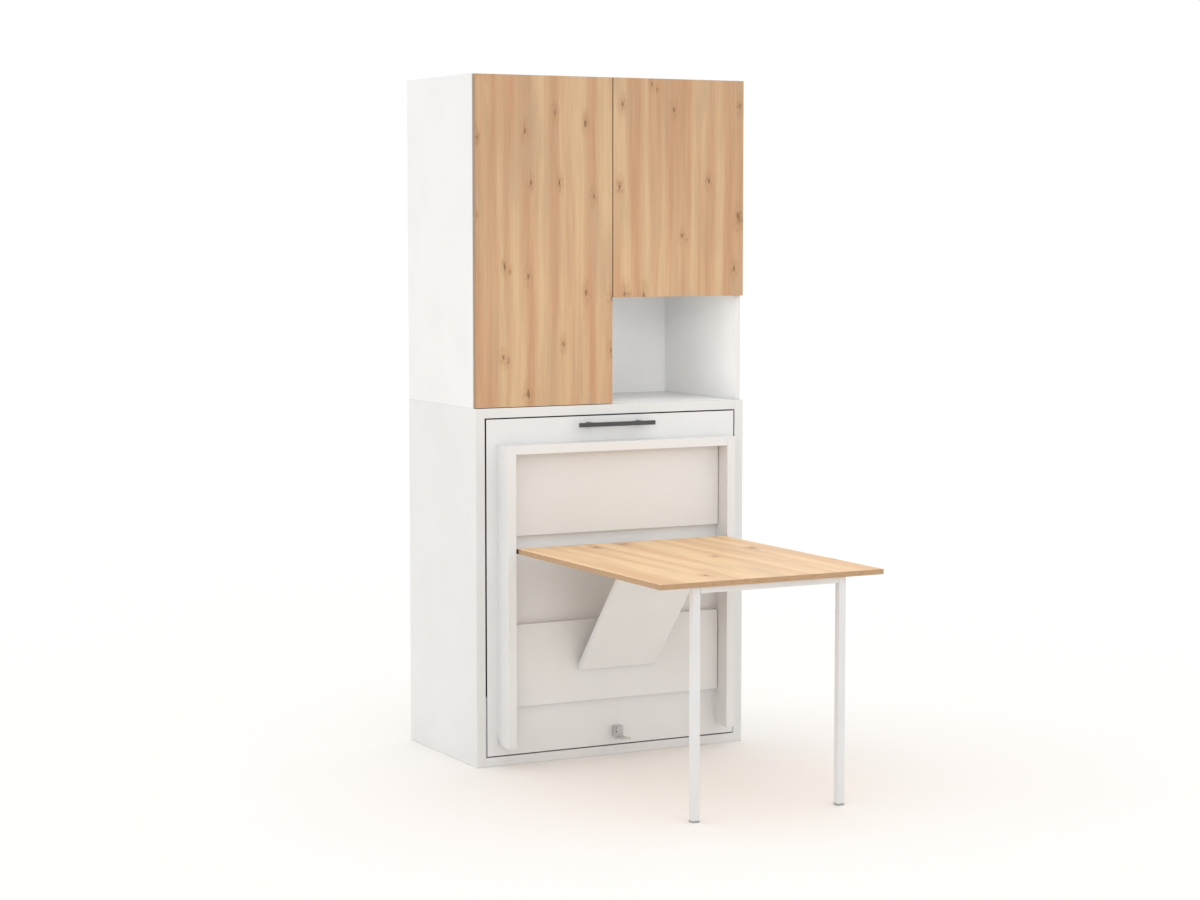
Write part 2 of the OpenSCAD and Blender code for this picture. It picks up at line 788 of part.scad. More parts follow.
// arc guides: two slots about one centre, the axis ahead of the panel's
// foot, in a plate on each cabinet side, and a roller for each on the arms
module arc_slot(r, a0) {
  a = a0 - (roller_r + 2) * 57.3 / r;
  b = a0 + 90 + (roller_r + 2) * 57.3 / r;
  far = 2 * r;
  intersection() {
    difference() {
      circle(r = r + slot_w / 2, $fn = 96);
      circle(r = r - slot_w / 2, $fn = 96);
    }
    polygon([[0, 0], [far * cos(a), far * sin(a)], [far, far], [far * cos(b), far * sin(b)]]);
  }
}

module arc_plates() {
  color("silver") both() side_profile(guide_x, lower_in) difference() {
    translate([y_front + 2, bottom_t]) square([guide_y1 - y_front - 2, guide_z1 - bottom_t]);
    translate([axis_y, axis_z]) {
      arc_slot(inner_arc_r, inner_start);
      arc_slot(outer_arc_r, outer_start);
    }
  }
}

module bed_arms() {
  color("silver") both() side_profile(rail_hw, rail_hw + plate_t)
    translate([y_front + 22, bottom_t + 4]) square([guide_y1 - y_front - 36, arm_h]);
}

module arc_rollers() {
  color("gray") both() for (p = [[inner_arc_r, inner_start], [outer_arc_r, outer_start]])
    rod_x(roller_r, rail_hw + plate_t, lower_in - 0.6, axis_y + p[0] * cos(p[1]), axis_z + p[0] * sin(p[1]));
}

// foot section, folded behind the main one on two tall offset plates

module fold_plates_main() {
  color("silver") both() difference() {
    box(rail_hw, rail_hw + plate_t, main_y0 + 4, fold_y + 12, fold_z - fold_plate_h, fold_z + 12);
    rod_x(pin_r * 2 + run_gap, rail_hw - 1, rail_hw + plate_t + 1, fold_y, fold_z);
  }
}

module fold_plates_foot() {
  x = foot_rail_hw;
  color("silver") both() difference() {
    box(x, x + plate_t, fold_y - 12, foot_y1 - 4, foot_z1 - fold_plate_h + 2, fold_z + 12);
    rod_x(pin_r * 2 + run_gap, x - 1, x + plate_t + 1, fold_y, fold_z);
  }
}

module fold_pins() {
  color("silver") both() {
    rod_x(pin_r * 2, rail_hw - 2, foot_rail_hw + plate_t + 0.5, fold_y, fold_z);
    rod_x(pin_r * 4, rail_hw - 3, rail_hw, fold_y, fold_z);
  }
}

module foot_bed_frame() {
  color("tan") difference() {
    rails(foot_rail_hw, foot_my1, foot_y1, foot_z0, foot_z1, [foot_z0, foot_z1 - rail_w]);
    rod_x(4 + run_gap, -foot_rail_hw - 1, foot_rail_hw + 1, leg_pivot_y, leg_pivot_z);
  }
}

module foot_slats() {
  color("burlywood") slats_in(foot_rail_hw, foot_my1, spread(foot_z0 + 44, foot_z1 - 44, 4));
}

module foot_mattress() {
  color("ivory") translate([0, foot_my1, foot_z0 + 2]) mirror([0, 1, 0])
    mattress(2 * mattress_hw, foot_l - 16, mattress_t, 3, 12, 22);
}

module foot_leg() {
  x = foot_rail_hw - rail_w - 4;
  b = leg_bar / 2;
  y0 = leg_pivot_y - b;
  y1 = leg_pivot_y + b;
  top = leg_pivot_z + bed_leg_l;
  color("silver") union() {
    both() {
      box(x - leg_bar, x, y0, y1, leg_pivot_z - 5, top);
      rod_x(4, x - 1, foot_rail_hw - 1, leg_pivot_y, leg_pivot_z);
    }
    box(-x, x, y0, y1, top - leg_bar, top);
  }
}

// head section on its own hinge at the back of the cabinet

module head_bed_frame() {
  foot_x = rail_hw - 55;
  color("tan") {
    rails(rail_hw, head_y0, head_my0, head_z0, head_z1, [head_z0, head_z1 - rail_w]);
    for (s = [-1, 1])
      box(s * foot_x - 20, s * foot_x + 20, head_y0 - head_foot_l, head_y0 + 5,
          head_foot_z - 20, head_foot_z + 20);
    box(-rail_hw + rail_w - 0.01, rail_hw - rail_w + 0.01, head_y0, head_my0 - slat_t - 2,
        head_foot_z - rail_w / 2, head_foot_z + rail_w / 2);
  }
}

module head_slats() {
  color("burlywood") slats_in(rail_hw, head_my0 - slat_t, spread(head_z0 + 44, head_z1 - 44, 4));
}

module head_mattress() {
  color("ivory") translate([0, head_my0, head_z0 + 2])
    mattress(2 * mattress_hw, head_l - 4, mattress_t, 3, 12, 22);
}

head_pin_r = 6;

module head_arms() {
  color("silver") both() difference() {
    box(rail_hw, rail_hw + plate_t, head_y0 + 4, head_axis_y + 12, head_axis_z - 11, head_axis_z + head_bracket_up);
    rod_x(head_pin_r + run_gap, rail_hw - 1, rail_hw + plate_t + 1, head_axis_y, head_axis_z);
  }
}

module head_brackets() {
  color("silver") both() {
    box(guide_x, lower_in, head_axis_y - 30, back_in, head_axis_z - head_bracket_low, head_axis_z + head_bracket_up);
    rod_x(head_pin_r, rail_hw - 1, guide_x + 0.1, head_axis_y, head_axis_z);
  }
}

// spring catches under the cabinet's top hold the closed front
module bed_catches() {
  x = lower_in - 68;
  color("gray") both() box(x - 20, x + 20, panel_back + 1, panel_back + 26, lower_top_z - 16, lower_top_z);
}

upper_left_side();
upper_right_side();
upper_top();
upper_divider();
niche_top();
upper_back();
wall_rails();
cupboard_shelves();
shelf_pins();
left_door();
right_door();
left_hinge_cups();
right_hinge_cups();
hinge_arms();
push_latches();
lower_left_side();
lower_right_side();
lower_top();
lower_bottom();
lower_back();
front_panel();
left_column();
right_column();
frame_beam();
upper_infill();
lower_infill();
handle();
rest_bracket();
front_screws();
strut();
strut_leaves();
strut_foot_leaf();
strut_foot_pin();
table_top();
table_buffers();
table_leaves();
table_pins();
leg_frame();
leg_glides();
leg_frame_leaves();
main_bed_frame();
main_slats();
main_mattress();
arc_plates();
bed_arms();
arc_rollers();
fold_plates_main();
fold_plates_foot();
fold_pins();
foot_bed_frame();
foot_slats();
foot_mattress();
foot_leg();
head_bed_frame();
head_slats();
head_mattress();
head_arms();
head_brackets();
bed_catches();
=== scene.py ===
"""Looks of the wall bed: eased boards, oak decor, coated metal and quilted mattresses
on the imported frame."""

import json
import math

import bmesh
import bpy
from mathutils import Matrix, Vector


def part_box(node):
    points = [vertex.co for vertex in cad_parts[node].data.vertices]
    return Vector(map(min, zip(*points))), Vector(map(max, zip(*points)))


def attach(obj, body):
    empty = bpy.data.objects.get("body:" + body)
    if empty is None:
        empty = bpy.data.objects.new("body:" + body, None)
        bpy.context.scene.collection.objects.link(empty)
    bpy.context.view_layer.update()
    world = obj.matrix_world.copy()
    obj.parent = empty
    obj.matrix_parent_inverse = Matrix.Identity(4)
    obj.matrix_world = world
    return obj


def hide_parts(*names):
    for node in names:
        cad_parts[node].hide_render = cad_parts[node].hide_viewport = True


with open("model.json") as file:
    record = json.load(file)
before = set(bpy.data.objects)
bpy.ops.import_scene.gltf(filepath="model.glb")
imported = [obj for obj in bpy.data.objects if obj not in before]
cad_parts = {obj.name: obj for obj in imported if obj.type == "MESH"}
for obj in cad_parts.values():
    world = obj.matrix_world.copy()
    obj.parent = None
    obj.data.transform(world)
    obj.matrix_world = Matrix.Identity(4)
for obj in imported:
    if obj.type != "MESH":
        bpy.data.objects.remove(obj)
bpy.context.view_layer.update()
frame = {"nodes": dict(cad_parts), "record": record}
parts = frame["nodes"]
body_of = {n: b for b, group in frame["record"]["behaviour"]["bodies"].items() for n in group}
slot_of = {s["node"]: s["material_slot"] for s in frame["record"]["subparts"]}
MM = 0.001


# camera, where the photograph's camera stood

YAW, PITCH = math.radians(27.6), math.radians(4.945)
lens = bpy.data.cameras.new("studio_camera")
lens.lens = 79.0
lens.sensor_width = 36.0
lens.clip_end = 60.0
camera = bpy.data.objects.new("studio_camera", lens)
camera.location = (-4.0693, -7.9626, 1.7754)
ahead = Vector((math.sin(YAW) * math.cos(PITCH), math.cos(YAW) * math.cos(PITCH), -math.sin(PITCH)))
camera.rotation_euler = ahead.to_track_quat("-Z", "Y").to_euler()
bpy.context.scene.collection.objects.link(camera)
bpy.context.scene.camera = camera


# materials

def linear(hex_colour):
    """An sRGB hex colour in the linear values that the shaders take."""
    channels = [int(hex_colour[i:i + 2], 16) / 255 for i in (1, 3, 5)]
    return tuple(c / 12.92 if c <= 0.04045 else ((c + 0.055) / 1.055) ** 2.4
                 for c in channels) + (1.0,)


def add(tree, kind, *values, stops=(), **named):
    """Adds a shader node and gives its main output. The values fill its inputs in order. Of the
    named ones, those in lower case are settings and the others are inputs. Stops are the places
    and colours of a colour ramp."""
    node = tree.nodes.new("ShaderNode" + kind)
    for name in [n for n in named if n.islower()]:
        setattr(node, name, named.pop(name))
    used = [socket for socket in node.inputs if socket.enabled]
    wanted = list(zip(used, values))
    wanted += [(node.inputs[name.replace("_", " ")], value) for name, value in named.items()]
    for socket, value in wanted:
        if isinstance(value, bpy.types.NodeSocket):
            tree.links.new(value, socket)
        else:
            socket.default_value = value
    for i, (place, colour) in enumerate(stops):
        ramp = node.color_ramp.elements
        stop = ramp[i] if i < 2 else ramp.new(place)
        stop.position = place
        stop.color = linear(colour)
    return next((socket for socket in node.outputs if socket.enabled), None)


def per_mm(*size):
    """The pattern scale that gives features of that many millimetres along each axis."""
    return [1 / (s * MM) for s in size]


def start(name, **constants):
    """A new material with its shader, and each point's place in metres at rest."""
    made = bpy.data.materials.new(name)
    made.use_nodes = True
    tree = made.node_tree
    tree.nodes.clear()
    shader = add(tree, "BsdfPrincipled", **constants)
    add(tree, "OutputMaterial", shader)
    return made, tree, shader.node.inputs, add(tree, "TexCoord").node.outputs["Object"]


def two_tones(tree, pattern, dark, pale, most=1.0):
    """The colour between dark and pale, hex values or sockets, that the pattern gives. Most is
    the largest share of pale."""
    ends = [linear(tone) if isinstance(tone, str) else tone for tone in (dark, pale)]
    return add(tree, "Mix", add(tree, "MapRange", pattern, 0.3, 0.7, 0.0, most), *ends,
               data_type="RGBA")


def dress(tree, shader, colour, relief, strength, depth, haze=None, low=0.0, high=0.0):
    """Gives the shader its colour, the bumps of a relief that is depth millimetres deep and, from
    the haze pattern, a roughness between low and high."""
    tree.links.new(colour, shader["Base Color"])
    if haze:
        tree.links.new(add(tree, "MapRange", haze, 0.3, 0.7, low, high), shader["Roughness"])
    tree.links.new(add(tree, "Bump", Height=relief, Strength=strength, Distance=depth * MM),
                   shader["Normal"])


def white_melamine(name, dark, pale):
    """White melamine-faced board with a fine pearl pressed into it: an even, softly matt white,
    with a faint cloudiness in the paper and no sharp reflection."""
    made, tree, shader, place = start(name, Specular_IOR_Level=0.4)
    cloud = add(tree, "TexNoise", place, Scale=1 / (190 * MM), Detail=3.0)
    # the real pearl is 0.3 mm wide; it is drawn at 1.8 mm so that it still shows
    pearl = add(tree, "TexNoise", place, Scale=1 / (1.8 * MM), Detail=2.0)
    dress(tree, shader, two_tones(tree, cloud, dark, pale), pearl, 0.12, 0.05, pearl, 0.38, 0.5)
    return made


def plain_edging(name, sheen, dark, pale, low, high):
    """Edging strip in one colour, extruded and scraped flush: an even tone that is a touch
    glossier than the board's face, with fine lines from the scraper."""
    made, tree, shader, place = start(name, Specular_IOR_Level=sheen)
    lines = add(tree, "TexNoise", add(tree, "Mapping", place, Scale=per_mm(2, 2, 60)), Scale=1.0)
    dress(tree, shader, two_tones(tree, lines, dark, pale), lines, 0.1, 0.03, lines, low, high)
    return made


def oak_edging(name, dark, pale):
    """Oak-look edging strip, printed and scraped: a plain darker tan than the face, with fine
    lines along the strip."""
    made, tree, shader, place = start(name, Specular_IOR_Level=0.3)
    lines = add(tree, "TexNoise", add(tree, "Mapping", place, Scale=per_mm(16, 16, 2.5)),
                Scale=1.0, Detail=3.0)
    dress(tree, shader, two_tones(tree, lines, dark, pale), lines, 0.15, 0.05, lines, 0.45, 0.55)
    return made


# a knotted cell of the oak's grain is this wide across the fibres and this long along them
KNOT_CELL = (1 / (110 * MM), 1 / (265 * MM), 1.0)
# the bounds of one knot's dark core and of its halo, in parts of a cell
CORE, HALO = (0.04, 0.066), (0.05, 0.20)


def oak_decor(name, upright, shift, bare, tan, sand, greige):
    """Knotty light-oak decor on board, printed and pressed with open pores: straight soft staves
    of tan and sand with greyish patches, fine fibre lines that fade in and out along the grain,
    and small dark knots, some in pairs, with a warm halo and dark flecks beside them. Bare is
    the share of the grain's cells that have no knot."""
    made, tree, shader, place = start(name, Specular_IOR_Level=0.35)
    # in grain, x runs across the fibres and y along them
    turn = (math.pi / 2, 0.0, 0.0) if upright else (0.0, 0.0, 0.0)
    grain = add(tree, "Mapping", place, Rotation=turn, Location=shift)
    drift = add(tree, "TexNoise", add(tree, "Mapping", grain, Scale=per_mm(260, 620, 260)), Scale=1.0)
    sway = add(tree, "MapRange", drift, 0.3, 0.7, -4 * MM, 4 * MM)
    bent = add(tree, "VectorMath", grain, add(tree, "CombineXYZ", sway), operation="ADD")
    staves = add(tree, "TexNoise", add(tree, "Mapping", bent, Scale=per_mm(46, 1500, 46)),
                 Scale=1.0, Detail=1.0, Roughness=0.5)
    colour = add(tree, "Mix", add(tree, "MapRange", staves, 0.38, 0.62, 0.0, 1.0),
                 linear(tan), linear(sand), data_type="RGBA")
    patch = add(tree, "TexNoise", add(tree, "Mapping", grain, Scale=per_mm(90, 420, 90)), Scale=1.0)
    colour = add(tree, "Mix", add(tree, "MapRange", patch, 0.5, 0.7, 0.0, 0.7), colour,
                 linear(greige), data_type="RGBA")
    # narrow streaks of early and late wood, 8 mm wide
    streak = add(tree, "TexNoise", add(tree, "Mapping", bent, Scale=per_mm(8, 260, 8)),
                 Scale=1.0, Detail=3.0, Roughness=0.6)
    # the fibre is 0.4 mm wide; it is drawn at 2.4 mm so that it shows in the render
    fibre = add(tree, "TexNoise", add(tree, "Mapping", bent, Scale=per_mm(2.4, 90, 2.4)),
                Scale=1.0, Detail=2.0, Roughness=0.6)
    light = add(tree, "Math", add(tree, "MapRange", streak, 0.3, 0.7, 0.92, 1.06),
                add(tree, "MapRange", fibre, 0.3, 0.7, 0.96, 1.03), operation="MULTIPLY")
    colour = add(tree, "VectorMath", colour, Scale=light, operation="SCALE")
    flecks = add(tree, "TexNoise", add(tree, "Mapping", bent, Scale=per_mm(4, 14, 4)), Scale=1.0)
    # a knot in some of the cells, and a smaller one beside some of them
    for beside, share, small, large in (((0.0, 0.0, 0.0), bare, 0.75, 1.5),
                                        ((-0.16, -0.06, 0.0), 0.84, 0.5, 0.8)):
        cell = add(tree, "Mapping", bent, Location=beside, Scale=KNOT_CELL)
        knots = add(tree, "TexVoronoi", cell, Scale=1.0, Randomness=0.85,
                    voronoi_dimensions="2D").node
        draw = add(tree, "SeparateColor", knots.outputs["Color"]).node.outputs
        present = add(tree, "Math", draw["Red"], share, operation="GREATER_THAN")
        reach = add(tree, "Math", knots.outputs["Distance"],
                    add(tree, "MapRange", draw["Green"], 0.0, 1.0, small, large), operation="DIVIDE")
        ragged = add(tree, "Math", streak, 0.05, reach, operation="MULTIPLY_ADD")
        halo = add(tree, "Math", present, add(tree, "MapRange", ragged, *HALO, 0.5, 0.0),
                   operation="MULTIPLY")
        core = add(tree, "Math", present, add(tree, "MapRange", ragged, *CORE, 0.8, 0.0),
                   operation="MULTIPLY")
        fleck = add(tree, "Math", add(tree, "MapRange", flecks, 0.52, 0.64, 0.0, 1.0), halo,
                    operation="MULTIPLY")
        for share_of, tone in ((halo, "#B58A63"), (fleck, "#6E5236"), (core, "#7A5E44")):
            colour = add(tree, "Mix", share_of, colour, linear(tone), data_type="RGBA")
    dress(tree, shader, colour, fibre, 0.2, 0.12, fibre, 0.52, 0.42)
    return made


def sanded_spruce():
    """Spruce slats and rails, planed and sanded: pale straw yellow, with brown late-wood lines
    4 mm apart and a dry matt surface."""
    made, tree, shader, place = start("spruce_sanded", Specular_IOR_Level=0.3)
    rings = add(tree, "TexNoise", add(tree, "Mapping", place, Scale=per_mm(160, 4, 4)),
                Scale=1.0, Detail=3.0, Roughness=0.55)
    patches = add(tree, "TexNoise", add(tree, "Mapping", place, Scale=per_mm(220, 60, 60)), Scale=1.0)
    tone = two_tones(tree, rings, "#E3C79B", "#C79F6E")
    tone = two_tones(tree, patches, tone, "#DDBB8B", 0.4)
    dress(tree, shader, tone, rings, 0.25, 0.15, rings, 0.62, 0.5)
    return made


def zinc_steel():
    """Pressed steel sheet and pins, bright zinc plated: a cool grey metal with a soft bluish
    bloom in patches and a slight haze."""
    made, tree, shader, place = start("steel_zinc_plated", Metallic=1.0)
    bloom = add(tree, "TexNoise", place, Scale=1 / (14 * MM), Detail=4.0, Roughness=0.6)
    grit = add(tree, "TexNoise", place, Scale=1 / (1.2 * MM))
    tone = two_tones(tree, bloom, "#A9ADB1", "#C9CCCF")
    dress(tree, shader, tone, grit, 0.2, 0.02, bloom, 0.28, 0.42)
    return made


def powder_coat(name, dark, pale, low, high):
    """Steel with a baked powder coat: one even colour with a fine orange peel that breaks up
    its soft highlight."""
    made, tree, shader, place = start(name)
    # the peel of a thin coat is 1.5 mm across
    peel = add(tree, "TexNoise", place, Scale=1 / (1.5 * MM))
    batch = add(tree, "TexNoise", place, Scale=1 / (120 * MM))
    dress(tree, shader, two_tones(tree, batch, dark, pale), peel, 0.3, 0.06, peel, low, high)
    return made


def moulded_rubber():
    """Black rubber for the buffers, moulded: nearly black and dull, with a grey bloom in
    patches."""
    made, tree, shader, place = start("rubber_moulded_black", Specular_IOR_Level=0.3)
    bloom = add(tree, "TexNoise", place, Scale=1 / (6 * MM), Detail=3.0)
    tone = two_tones(tree, bloom, "#1B1A19", "#2C2B29")
    dress(tree, shader, tone, bloom, 0.2, 0.05, bloom, 0.6, 0.75)
    return made


def moulded_nylon(name, dark, pale):
    """Moulded nylon for glides, rollers and catches: one grey with the matt spark-eroded texture
    of its mould."""
    made, tree, shader, place = start(name, Specular_IOR_Level=0.45)
    spark = add(tree, "TexNoise", place, Scale=1 / (0.9 * MM), Detail=3.0)
    dress(tree, shader, two_tones(tree, spark, dark, pale), spark, 0.3, 0.05, spark, 0.48, 0.62)
    return made


def knitted_ticking():
    """Off-white knitted ticking quilted on wadding: ribs of small stitches, a soft matt bloom and
    painted shade, a little more grey in the hollows between the ribs."""
    made, tree, shader, place = start("ticking_knitted", Roughness=0.9, Specular_IOR_Level=0.2,
                                      Sheen_Weight=0.25, Sheen_Roughness=0.5)
    # a stitch is 1.1 mm wide, too fine to show, so the knit's broad ribs are drawn, 19 mm apart.
    # The slanting bands of a wave texture with a scale of 1 are this far apart
    band = 2 * math.pi / (10 * math.sqrt(3))
    rows = add(tree, "TexWave", place, Scale=band / (18.86 * MM), Distortion=1.2, Detail=1.0,
               wave_type="BANDS", bands_direction="DIAGONAL")
    fluff = add(tree, "TexNoise", place, Scale=1 / (5 * MM), Detail=3.0)
    # the grey mixed into the hollows between the ribs is painted shade
    tone = add(tree, "Mix", add(tree, "MapRange", rows, 0.0, 1.0, 0.25, 0.0),
               two_tones(tree, fluff, "#E4E1D8", "#F0EEE7"), linear("#D2CCBE"), data_type="RGBA")
    dress(tree, shader, tone, rows, 0.4, 0.35)
    return made


def woven_tape():
    """Woven edge tape sewn round the mattress: warm grey, ribbed every 2 mm."""
    made, tree, shader, place = start("edge_tape_woven", Roughness=0.85, Specular_IOR_Level=0.2)
    ribs = add(tree, "TexNoise", place, Scale=1 / (2 * MM), Detail=1.0)
    dress(tree, shader, two_tones(tree, ribs, "#A9A294", "#C2BCAE"), ribs, 0.5, 0.4)
    return made


DOOR_TONES = ("#BE9471", "#CBAB85", "#B99C7C")
# the table's decor is drawn lighter than the doors': partly its own lighter tone and partly painted
# light for the stronger light on its top
TABLE_TONES_WITH_PAINTED_LIGHT = ("#E5BB8E", "#F3D1A4", "#E0BE96")
melamine = white_melamine("white_melamine_pearl", "#DCDCDB", "#E0E0DF")
# the upper cabinet and the strut take a lighter copy of the bed cabinet's white melamine: painted
# light for the brighter light they get, not a different board
painted_light_melamine = white_melamine("white_melamine_pearl_painted_lighter", "#E3E3E2", "#E7E7E6")
edging = plain_edging("white_edging_scraped", 0.45, "#D8D8D7", "#DDDDDC", 0.30, 0.40)
oak_left = oak_decor("oak_decor_left_door", True, (0.37, 0.11, 0.0), 0.35, *DOOR_TONES)
oak_right = oak_decor("oak_decor_right_door", True, (0.81, 0.42, 0.0), 0.35, *DOOR_TONES)
oak_table_with_painted_light = oak_decor("oak_decor_table_partly_painted_light", False, (0.23, 0.57, 0.0), 0.68, *TABLE_TONES_WITH_PAINTED_LIGHT)
door_edge = oak_edging("oak_edging_scraped_doors", "#9A7C5F", "#AD8B6A")
table_edge = oak_edging("oak_edging_scraped_table", "#A98868", "#BD9974")
# the bed front's edging is painted near black: painted shade for the dark narrow gap round the front
painted_shade_edging = plain_edging("near_black_edging_painted_gap_shade", 0.3, "#1E1E1F", "#2B2B2C", 0.42, 0.55)
spruce = sanded_spruce()
zinc = zinc_steel()
white_coat = powder_coat("steel_powder_coat_white", "#D6D6D6", "#DBDBDB", 0.34, 0.46)
dark_coat = powder_coat("steel_powder_coat_anthracite", "#3A3B3D", "#464749", 0.36, 0.5)
grey_coat = powder_coat("steel_powder_coat_light_grey", "#B2B2B0", "#BDBDBB", 0.34, 0.46)
rubber = moulded_rubber()
nylon = moulded_nylon("nylon_moulded_grey", "#6A6D71", "#7C7F83")
pale_nylon = moulded_nylon("nylon_moulded_light_grey", "#979795", "#A6A6A4")
ticking = knitted_ticking()
tape = woven_tape()

LOOK_OF_SLOT = {"white_board": melamine, "oak_decor": oak_left, "bed_wood": spruce,
                "zinc_steel": zinc, "white_metal": white_coat, "dark_metal": dark_coat,
                "light_metal": grey_coat, "black_rubber": rubber, "grey_plastic": nylon,
                "ticking": ticking}
OWN_LOOK = {"upper_back": painted_light_melamine, "leg_glides": pale_nylon}


# boards, tubes and rails with their edges eased

def place_piece(piece, node):
    """The piece stands for the node, with its body."""
    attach(piece, body_of[node])
    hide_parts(node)
    return piece


def settled(piece):
    """The piece's mesh with its modifiers applied."""
    bpy.context.view_layer.update()
    seen = piece.evaluated_get(bpy.context.evaluated_depsgraph_get())
    mesh = bpy.data.meshes.new_from_object(seen)
    piece.modifiers.clear()
    piece.data = mesh
    return piece


# points closer than this are one, faces within the first angle are one flat face, and edges over
# the second are sharp
SAME_SPOT, FLAT, SHARP = 0.02 * MM, math.radians(0.5), math.radians(30)


def eased(node, made, radius, face, edge=None, across=None, shortest=12.0, rounds=2):
    """The node's form with its sharp edges rounded to radius millimetres where they are longer
    than shortest. Faces that don't lie across the given axis take the edging's material."""
    mesh = parts[node].data.copy()
    mesh.materials.clear()
    for look in (face, edge or face):
        mesh.materials.append(look)
    shape = bmesh.new()
    shape.from_mesh(mesh)
    bmesh.ops.remove_doubles(shape, verts=shape.verts, dist=SAME_SPOT)
    bmesh.ops.dissolve_limit(shape, angle_limit=FLAT, verts=shape.verts, edges=shape.edges)
    weight = shape.edges.layers.float.new("bevel_weight_edge")
    for line in shape.edges:
        corner = len(line.link_faces) == 2 and line.calc_face_angle(0.0) > SHARP
        line[weight] = 1.0 if corner and line.calc_length() > shortest * MM else 0.0
    for side in shape.faces:
        side.smooth = True
        side.material_index = int(across is not None and abs(side.normal[across]) < 0.9)
    shape.to_mesh(mesh)
    shape.free()
    mesh.set_sharp_from_angle(angle=SHARP)
    piece = bpy.data.objects.new(f"{node}_{made}", mesh)
    bpy.context.scene.collection.objects.link(piece)
    bevel = piece.modifiers.new("eased", "BEVEL")
    bevel.limit_method = "WEIGHT"
    bevel.width = radius * MM
    bevel.segments = rounds
    bevel.use_clamp_overlap = True
    bevel.material = 1 if across is not None else -1
    normals = piece.modifiers.new("flat faces stay flat", "WEIGHTED_NORMAL")
    normals.keep_sharp = True
    normals.weight = 100
    settled(piece)
    return place_piece(piece, node)


X, Y, Z = 0, 1, 2
# the upper cabinet's boards take the lighter copy of the white, which is painted light
for name, across in (("upper_left_side", X), ("upper_right_side", X), ("upper_divider", X),
                     ("upper_top", Z), ("niche_top", Z), ("cupboard_shelves", Z)):
    eased(name, "edge_banded", 0.8, painted_light_melamine, edging, across)
for name, across in (("lower_left_side", X), ("lower_right_side", X), ("lower_top", Z),
                     ("lower_bottom", Z)):
    eased(name, "edge_banded", 0.8, melamine, edging, across)
# the strut takes the lighter copy of the white too, as painted light
eased("strut", "edge_banded", 0.8, painted_light_melamine)
# the front's side edges take the near-black edging, painted shade for the gap round it
eased("front_panel", "edge_banded", 0.8, melamine, painted_shade_edging, Y)
for name in ("left_column", "right_column", "frame_beam", "upper_infill", "lower_infill"):
    eased(name, "wrapped", 1.2, melamine)
eased("left_door", "edge_banded", 0.8, oak_left, door_edge, Y)
eased("right_door", "edge_banded", 0.8, oak_right, door_edge, Y)
eased("table_top", "edge_banded", 1.0, oak_table_with_painted_light, table_edge, Z)
for name in ("main_bed_frame", "foot_bed_frame", "head_bed_frame"):
    eased(name, "sanded", 2.5, spruce, rounds=3)
for name in ("main_slats", "foot_slats", "head_slats"):
    eased(name, "sanded", 2.0, spruce, rounds=3)
for name in ("leg_frame", "foot_leg"):
    eased(name, "coated", 0.7, white_coat, shortest=6.0)
eased("handle", "coated", 0.8, dark_coat, shortest=6.0)
eased("rest_bracket", "coated", 0.5, grey_coat, shortest=2.5)
# painted shade: the buffers at the table's sides are drawn black where the narrow gap between the
# table and the columns lies in deep shade
eased("table_buffers", "moulded", 0.7, rubber, shortest=2.0)


# mattresses

def cut_line(mesh, height, axis):
    """The closed line where the plane at that height along the axis cuts the mesh."""
    shape = bmesh.new()
    shape.from_mesh(mesh)
    normal = Vector((0, 0, 0))
    normal[axis] = 1.0
    point = normal * height
    cut = bmesh.ops.bisect_plane(shape, geom=shape.verts[:] + shape.edges[:] + shape.faces[:],
                                 plane_co=point, plane_no=normal)["geom_cut"]
    spots = [g.co.copy() for g in cut if isinstance(g, bmesh.types.BMVert)]
    shape.free()
    middle = sum(spots, Vector()) / len(spots)
    u, v = [i for i in range(3) if i != axis]
    return sorted(spots, key=lambda p: math.atan2(p[v] - middle[v], p[u] - middle[u]))


SLACK, MOST_SWELL, NET, QUICK_NET = 5.0 * MM, 6.0 * MM, 11 * MM, 20 * MM
# the quilting's diamonds, the width and depth of its grooves, and the plain rim round it with
# the strip over which the grooves fade out
DIAMOND, GROOVE, GROOVE_DEPTH, RIM, FADE = 95 * MM, 9 * MM, 4.0 * MM, 12 * MM, 30 * MM
# the taped seams' distance from each face, and the tape's radius
TAPE_IN, TAPE_RADIUS = 21 * MM, 2.6 * MM
SWELL_STEPS = 20


